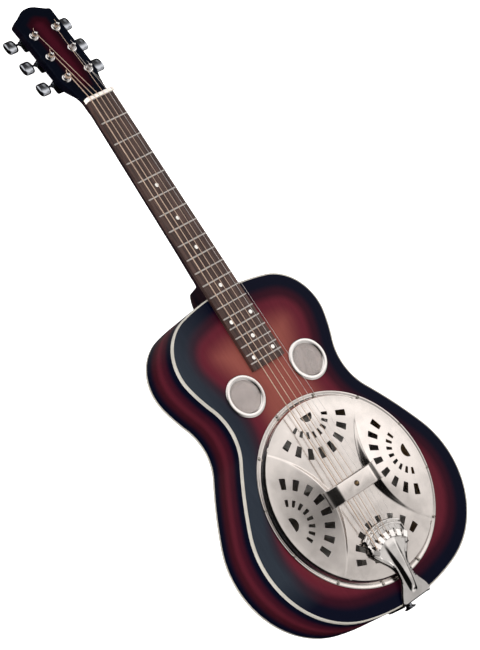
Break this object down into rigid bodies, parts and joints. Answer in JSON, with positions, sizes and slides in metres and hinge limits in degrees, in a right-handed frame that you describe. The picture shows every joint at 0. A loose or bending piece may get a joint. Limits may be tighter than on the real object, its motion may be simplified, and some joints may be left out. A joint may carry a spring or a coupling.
{
  "type": "resonator guitar",
  "caption": "Wood-bodied resonator guitar with a slotted metal cover plate, two round screens, fan tailpiece, round neck and enclosed tuners, lying on its back.",
  "frame": {"origin": "on the outer face of the back, directly under the centre of the cone", "axes": "+Y along the strings to the headstock, +X to the treble side, +Z out of the soundboard"},
  "size_m": [0.3758, 1.0012, 0.1105],
  "materials": {
    "burst_lacquer": "gloss burst lacquer over birch, brownish red centre to near-black edge",
    "back_lacquer": "gloss dark red lacquer",
    "side_lacquer": "gloss dark red lacquer, near black along both edges",
    "cream_binding": "gloss cream plastic",
    "bare_wood": "unfinished",
    "neck_lacquer": "gloss dark mahogany lacquer",
    "steel_hardware": "zinc plated",
    "head_lacquer": "gloss black with a dark red centre",
    "rosewood": "oiled, open grain",
    "brass_screw": "plain brass",
    "nickel_silver": "polished",
    "white_inlay": "flush polished",
    "white_bone": "polished",
    "nickel_plate": "plated, softly polished",
    "screw_nickel": "plated",
    "spun_aluminium": "spun, fine rings",
    "cast_aluminium": "as cast",
    "maple_saddle": "bare maple",
    "screen_bezel": "bright plated",
    "screen_mesh": "woven wire",
    "tailpiece_chrome": "bright plated",
    "tuner_chrome": "bright plated",
    "wound_string": "phosphor bronze winding",
    "plain_string": "plain steel"
  },
  "bodies": {
    "root": {"soundboard": "burst_lacquer", "back_plate": "back_lacquer", "bass_side": "side_lacquer", "treble_side": "side_lacquer", "top_binding": "cream_binding", "back_binding": "cream_binding", "linings": "bare_wood", "neck_block": "bare_wood", "tail_block": "bare_wood", "body_braces": "bare_wood", "soundwell": "bare_wood", "cone_ledge": "bare_wood", "neck": "neck_lacquer", "truss_rod": "steel_hardware", "neck_bolts": "steel_hardware", "bolt_washers": "steel_hardware", "headstock_veneer": "head_lacquer", "fretboard": "rosewood", "frets": "nickel_silver", "fret_markers": "white_inlay", "nut": "white_bone", "cover_plate": "nickel_plate", "palm_rest": "nickel_plate", "cover_screws": "screw_nickel", "resonator_cone": "spun_aluminium", "spider": "cast_aluminium", "saddle_halves": "maple_saddle", "tension_screw": "brass_screw", "screen_rings": "screen_bezel", "screen_meshes": "screen_mesh", "tailpiece": "tailpiece_chrome", "strap_button": "tuner_chrome", "strap_screw": "steel_hardware", "string_6_low_e": "wound_string", "string_5_a": "wound_string", "string_4_d": "wound_string", "string_3_g": "wound_string", "string_2_b": "plain_string", "string_1_high_e": "plain_string", "tuner_housings": "tuner_chrome", "post_nuts": "tuner_chrome", "tuner_screws": "screw_nickel"},
    "key_6": {"worm_shaft_6": "tuner_chrome", "tuner_button_6": "tuner_chrome"},
    "post_6": {"string_post_6": "tuner_chrome"},
    "key_5": {"worm_shaft_5": "tuner_chrome", "tuner_button_5": "tuner_chrome"},
    "post_5": {"string_post_5": "tuner_chrome"},
    "key_4": {"worm_shaft_4": "tuner_chrome", "tuner_button_4": "tuner_chrome"},
    "post_4": {"string_post_4": "tuner_chrome"},
    "key_3": {"worm_shaft_3": "tuner_chrome", "tuner_button_3": "tuner_chrome"},
    "post_3": {"string_post_3": "tuner_chrome"},
    "key_2": {"worm_shaft_2": "tuner_chrome", "tuner_button_2": "tuner_chrome"},
    "post_2": {"string_post_2": "tuner_chrome"},
    "key_1": {"worm_shaft_1": "tuner_chrome", "tuner_button_1": "tuner_chrome"},
    "post_1": {"string_post_1": "tuner_chrome"}
  },
  "joints": [
    {"name": "key_turn_6", "type": "hinge", "parent": "root", "child": "key_6", "pos_m": [-0.0205, 0.69677, 0.05541], "axis": [-1, 0, 0], "continuous": true},
    {"name": "post_turn_6", "type": "hinge", "parent": "root", "child": "post_6", "pos_m": [-0.0205, 0.693, 0.0753], "axis": [0, 0.165, 0.9863], "continuous": true},
    {"name": "key_turn_5", "type": "hinge", "parent": "root", "child": "key_5", "pos_m": [-0.0205, 0.73523, 0.04897], "axis": [-1, 0, 0], "continuous": true},
    {"name": "post_turn_5", "type": "hinge", "parent": "root", "child": "post_5", "pos_m": [-0.0205, 0.73147, 0.06887], "axis": [0, 0.165, 0.9863], "continuous": true},
    {"name": "key_turn_4", "type": "hinge", "parent": "root", "child": "key_4", "pos_m": [-0.0205, 0.7737, 0.04254], "axis": [-1, 0, 0], "continuous": true},
    {"name": "post_turn_4", "type": "hinge", "parent": "root", "child": "post_4", "pos_m": [-0.0205, 0.76993, 0.06243], "axis": [0, 0.165, 0.9863], "continuous": true},
    {"name": "key_turn_3", "type": "hinge", "parent": "root", "child": "key_3", "pos_m": [0.0205, 0.7737, 0.04254], "axis": [1, 0, 0], "continuous": true},
    {"name": "post_turn_3", "type": "hinge", "parent": "root", "child": "post_3", "pos_m": [0.0205, 0.76993, 0.06243], "axis": [0, 0.165, 0.9863], "continuous": true},
    {"name": "key_turn_2", "type": "hinge", "parent": "root", "child": "key_2", "pos_m": [0.0205, 0.73523, 0.04897], "axis": [1, 0, 0], "continuous": true},
    {"name": "post_turn_2", "type": "hinge", "parent": "root", "child": "post_2", "pos_m": [0.0205, 0.73147, 0.06887], "axis": [0, 0.165, 0.9863], "continuous": true},
    {"name": "key_turn_1", "type": "hinge", "parent": "root", "child": "key_1", "pos_m": [0.0205, 0.69677, 0.05541], "axis": [1, 0, 0], "continuous": true},
    {"name": "post_turn_1", "type": "hinge", "parent": "root", "child": "post_1", "pos_m": [0.0205, 0.693, 0.0753], "axis": [0, 0.165, 0.9863], "continuous": true}
  ],
  "couplings": [
    {"joint": "post_turn_6", "follows": "key_turn_6", "ratio": 0.071429},
    {"joint": "post_turn_5", "follows": "key_turn_5", "ratio": 0.071429},
    {"joint": "post_turn_4", "follows": "key_turn_4", "ratio": 0.071429},
    {"joint": "post_turn_3", "follows": "key_turn_3", "ratio": 0.071429},
    {"joint": "post_turn_2", "follows": "key_turn_2", "ratio": 0.071429},
    {"joint": "post_turn_1", "follows": "key_turn_1", "ratio": 0.071429}
  ]
}
